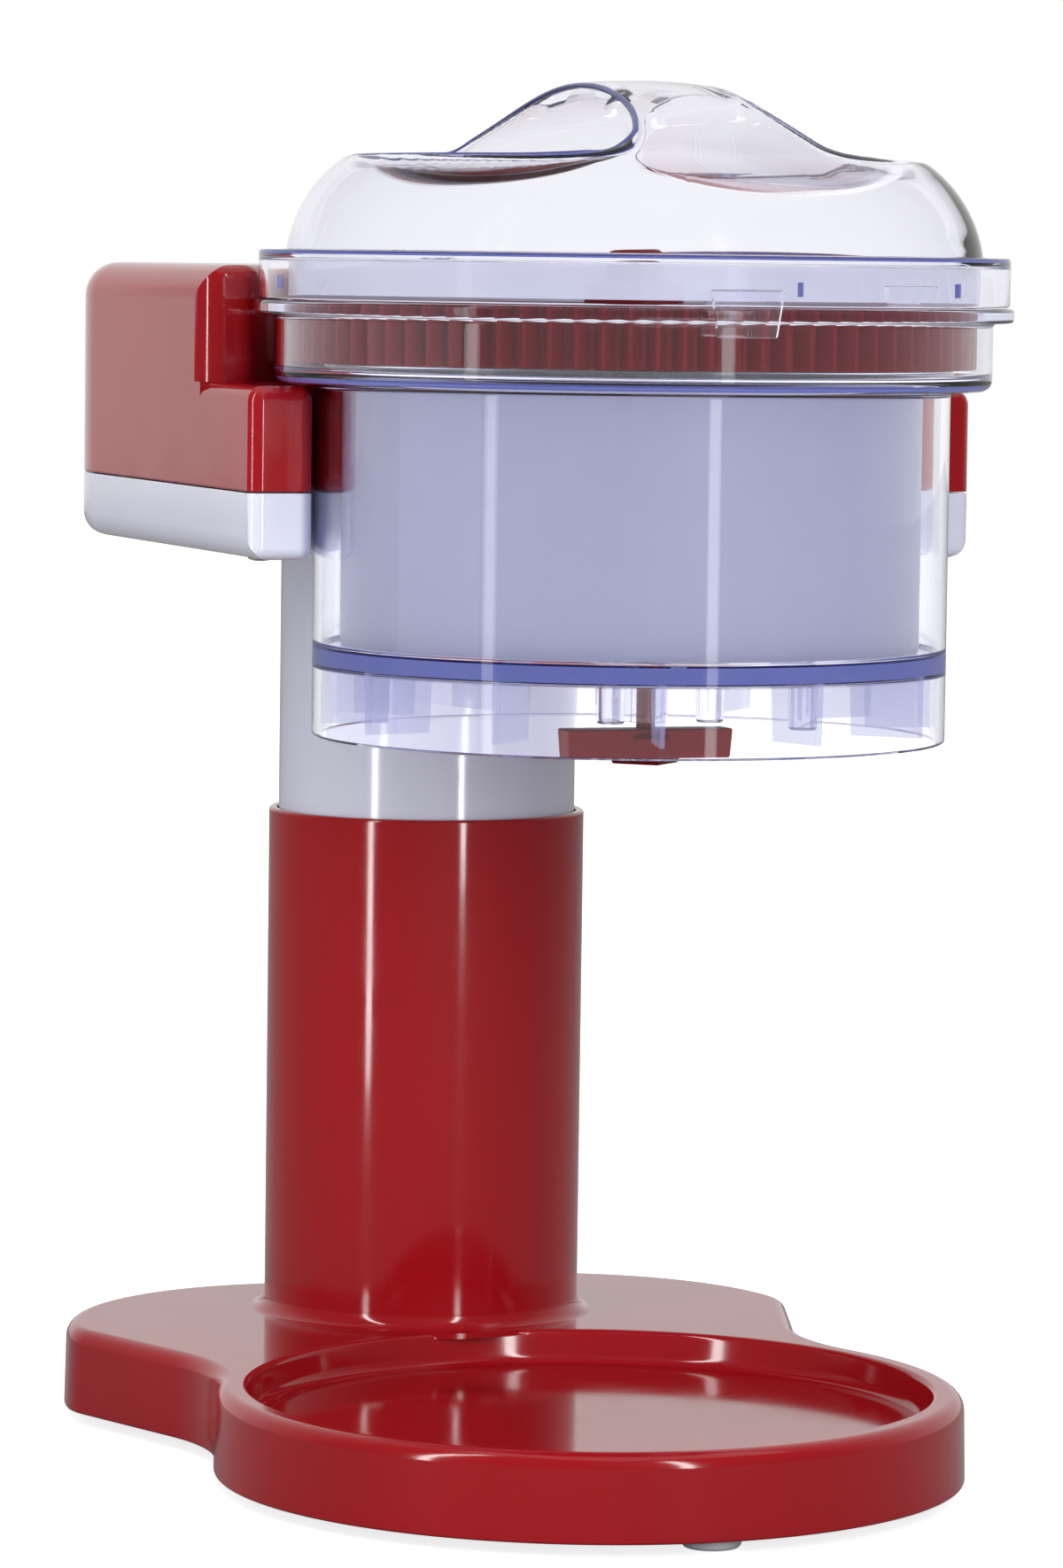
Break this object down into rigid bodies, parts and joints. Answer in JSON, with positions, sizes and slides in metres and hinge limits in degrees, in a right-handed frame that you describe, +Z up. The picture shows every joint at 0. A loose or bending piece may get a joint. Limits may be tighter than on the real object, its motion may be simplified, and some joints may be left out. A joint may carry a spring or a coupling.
{
  "type": "slushie machine",
  "caption": "Countertop ice shaver: a clear ice hopper with a ring gear and domed lid in a two-armed motor head on a telescoping column over a round tray base.",
  "frame": {"origin": "centre of the footprint's bounding box, on the surface that the feet stand on", "axes": "+Z up, -Y towards the front of the tray, +X to the machine's left-hand side seen from behind (right in a front view)"},
  "size_m": [0.2068, 0.31, 0.3586],
  "materials": {
    "red_gloss": "moulded glossy red",
    "red_gear": "moulded red, satin",
    "white_gloss": "moulded glossy cool white",
    "dark_plastic": "fine matt grain",
    "clear_plastic": "clear moulded plastic with a blue tint in its edges",
    "frosted_plastic": "frosted lilac",
    "foot_rubber": "matt pale grey",
    "gear_plastic": "natural acetal",
    "motor_can": "zinc plated",
    "steel": "bright"
  },
  "bodies": {
    "base": {"base_housing": "red_gloss", "base_plate": "dark_plastic", "foot_front": "foot_rubber", "foot_mid_left": "foot_rubber", "foot_mid_right": "foot_rubber", "foot_rear_left": "foot_rubber", "foot_rear_right": "foot_rubber", "base_screw_1": "steel", "base_screw_2": "steel", "base_screw_3": "steel", "base_screw_4": "steel"},
    "head": {"column_tube": "white_gloss", "head_lower_shell": "white_gloss", "head_upper_cover": "red_gloss", "gear_plate": "steel", "gear_plate_screw_1": "steel", "gear_plate_screw_2": "steel", "gear_plate_screw_3": "steel", "gear_plate_screw_4": "steel", "motor_gearbox": "steel", "drive_motor": "motor_can", "pinion_post": "steel", "idler_post": "steel", "switch_bezel": "dark_plastic", "cord_gland": "dark_plastic", "head_screw_1": "steel", "head_screw_2": "steel", "head_screw_3": "steel", "head_screw_4": "steel"},
    "hopper": {"hopper": "clear_plastic", "ice_sleeve": "frosted_plastic", "blade": "steel", "blade_screw_1": "steel", "blade_screw_2": "steel"},
    "ring": {"drive_disc": "red_gear"},
    "presser": {"presser_plate": "steel", "presser_shaft": "red_gear", "presser_spring": "steel"},
    "lid": {"lid": "clear_plastic"},
    "knob": {"blade_knob": "red_gloss"},
    "pinion": {"drive_pinion": "gear_plastic"},
    "idler": {"idler_gear": "gear_plastic"},
    "motor_gear": {"motor_gear": "gear_plastic"},
    "rocker": {"switch_rocker": "dark_plastic"}
  },
  "joints": [
    {"name": "column_slide", "type": "slide", "parent": "base", "child": "head", "axis": [0, 0, 1], "range_m": [0, 0.06]},
    {"name": "hopper_lift", "type": "slide", "parent": "head", "child": "hopper", "axis": [0, 0, 1], "range_m": [0, 0.06]},
    {"name": "lid_lift", "type": "slide", "parent": "hopper", "child": "lid", "axis": [0, 0, 1], "range_m": [0, 0.05]},
    {"name": "ring_spin", "type": "hinge", "parent": "hopper", "child": "ring", "pos_m": [0, -0.0548, 0.295], "axis": [0, 0, 1], "continuous": true},
    {"name": "presser_slide", "type": "slide", "parent": "ring", "child": "presser", "axis": [0, 0, 1], "range_m": [0, 0.018], "stiffness_N_per_m": 150, "springref_m": -0.01, "deforming": ["presser_spring"]},
    {"name": "blade_knob_turn", "type": "hinge", "parent": "hopper", "child": "knob", "pos_m": [0.004, -0.0568, 0.193], "axis": [0, 0, 1], "range_deg": [0, 90]},
    {"name": "pinion_spin", "type": "hinge", "parent": "head", "child": "pinion", "pos_m": [0, 0.0432, 0.292], "axis": [0, 0, 1], "continuous": true},
    {"name": "idler_spin", "type": "hinge", "parent": "head", "child": "idler", "pos_m": [0, 0.0692, 0.292], "axis": [0, 0, 1], "continuous": true},
    {"name": "motor_spin", "type": "hinge", "parent": "head", "child": "motor_gear", "pos_m": [0, 0.0982, 0.292], "axis": [0, 0, 1], "continuous": true},
    {"name": "switch_rock", "type": "hinge", "parent": "head", "child": "rocker", "pos_m": [0, 0.149, 0.29], "axis": [1, 0, 0], "range_deg": [0, 14]}
  ],
  "couplings": [
    {"joint": "pinion_spin", "follows": "ring_spin", "ratio": -6},
    {"joint": "idler_spin", "follows": "ring_spin", "ratio": 7},
    {"joint": "motor_spin", "follows": "ring_spin", "ratio": -4.9412}
  ]
}
